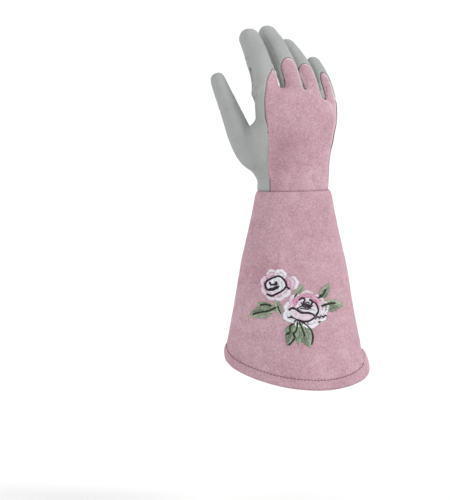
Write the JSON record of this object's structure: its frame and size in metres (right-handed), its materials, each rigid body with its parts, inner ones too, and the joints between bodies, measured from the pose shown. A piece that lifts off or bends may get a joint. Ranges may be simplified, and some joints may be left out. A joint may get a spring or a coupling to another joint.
{
  "type": "pruning gauntlet",
  "caption": "Long right-hand pruning gauntlet: grey leather palm and fingers, pink suede back, and a flared pink suede cuff embroidered with roses, in the form it has when worn.",
  "frame": {"origin": "the centre of the wrist seam, between the hand and the cuff", "axes": "+Z runs from the wrist to the fingertips, +Y out of the palm, -Y out of the back of the hand, and the thumb is at -X"},
  "size_m": [0.1537, 0.1141, 0.3718],
  "materials": {
    "grey_leather": "matt fine-grained grey leather",
    "pink_suede": "dusty pink suede with a soft mottled nap",
    "petal_thread": "satin stitch in white and pale pink thread with dark outlines",
    "leaf_thread": "satin stitch in green thread with dark veins"
  },
  "bodies": {
    "root": {"palm_panel": "grey_leather", "palm_patch": "grey_leather", "thumb_front": "grey_leather", "thumb_back": "grey_leather", "index_gusset": "grey_leather", "middle_cap": "grey_leather", "ring_cap": "grey_leather", "little_cap": "grey_leather", "back_panel": "pink_suede", "cuff": "pink_suede", "cuff_hem": "pink_suede", "rose_small": "petal_thread", "rose_large": "petal_thread", "leaf_1": "leaf_thread", "leaf_2": "leaf_thread", "leaf_3": "leaf_thread", "leaf_4": "leaf_thread", "leaf_5": "leaf_thread", "leaf_6": "leaf_thread", "leaf_7": "leaf_thread"}
  },
  "joints": []
}
